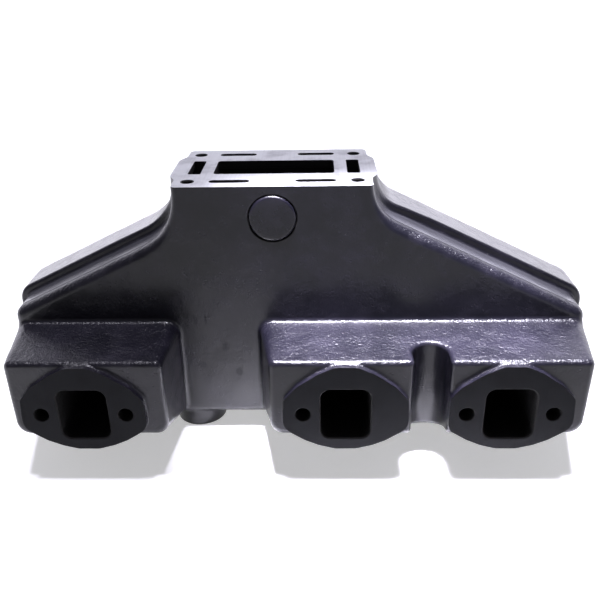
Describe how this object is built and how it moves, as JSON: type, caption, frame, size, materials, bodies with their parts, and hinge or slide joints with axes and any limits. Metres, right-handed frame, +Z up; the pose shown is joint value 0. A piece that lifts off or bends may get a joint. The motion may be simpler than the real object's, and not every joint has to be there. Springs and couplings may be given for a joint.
{
  "type": "marine exhaust manifold",
  "caption": "Water-jacketed centre-riser exhaust manifold: port boxes with square ports on one side, sloping shoulders, and a machined deck with gas and water openings on top.",
  "frame": {"origin": "on the plane of the machined port faces, halfway along the body, at the height of the port centres", "axes": "+X along the engine with the twin ports on the +X side, +Y away from the cylinder head, +Z up towards the riser deck"},
  "size_m": [0.437, 0.158, 0.199],
  "materials": {
    "painted_iron": "gloss black engine enamel over sand-cast iron, slightly blue in the highlights",
    "port_face_iron": "flat milled port faces with a thin worn coat of black enamel",
    "machined_iron": "bare milled iron, light grey and fine",
    "gas_passage_iron": "rough uncoated passage wall, very dark",
    "painted_plug": "pressed steel plug painted with the casting",
    "plug_brass": "turned brass with a dull surface"
  },
  "bodies": {
    "root": {"port_pad_1": "port_face_iron", "port_pad_2": "port_face_iron", "port_pad_3": "port_face_iron", "single_port_box": "painted_iron", "twin_port_box": "painted_iron", "water_jacket": "painted_iron", "riser_flange": "machined_iron", "left_shoulder_rib": "painted_iron", "right_shoulder_rib": "painted_iron", "port_runner_1": "gas_passage_iron", "port_runner_2": "gas_passage_iron", "port_runner_3": "gas_passage_iron", "exhaust_log": "gas_passage_iron", "riser_throat": "gas_passage_iron", "bolt_column_1a": "painted_iron", "bolt_column_1b": "painted_iron", "bolt_column_2a": "painted_iron", "bolt_column_3a": "painted_iron", "bolt_column_3b": "painted_iron", "bolt_face_1a": "machined_iron", "bolt_face_1b": "machined_iron", "bolt_face_2a": "machined_iron", "bolt_face_3a": "machined_iron", "bolt_face_3b": "machined_iron", "drain_boss": "painted_iron", "drain_plug": "plug_brass", "left_end_boss": "painted_iron", "right_end_boss": "painted_iron", "left_end_plug": "plug_brass", "front_core_plug": "painted_plug", "rear_core_plug_left": "painted_plug", "rear_core_plug_right": "painted_plug"}
  },
  "joints": []
}
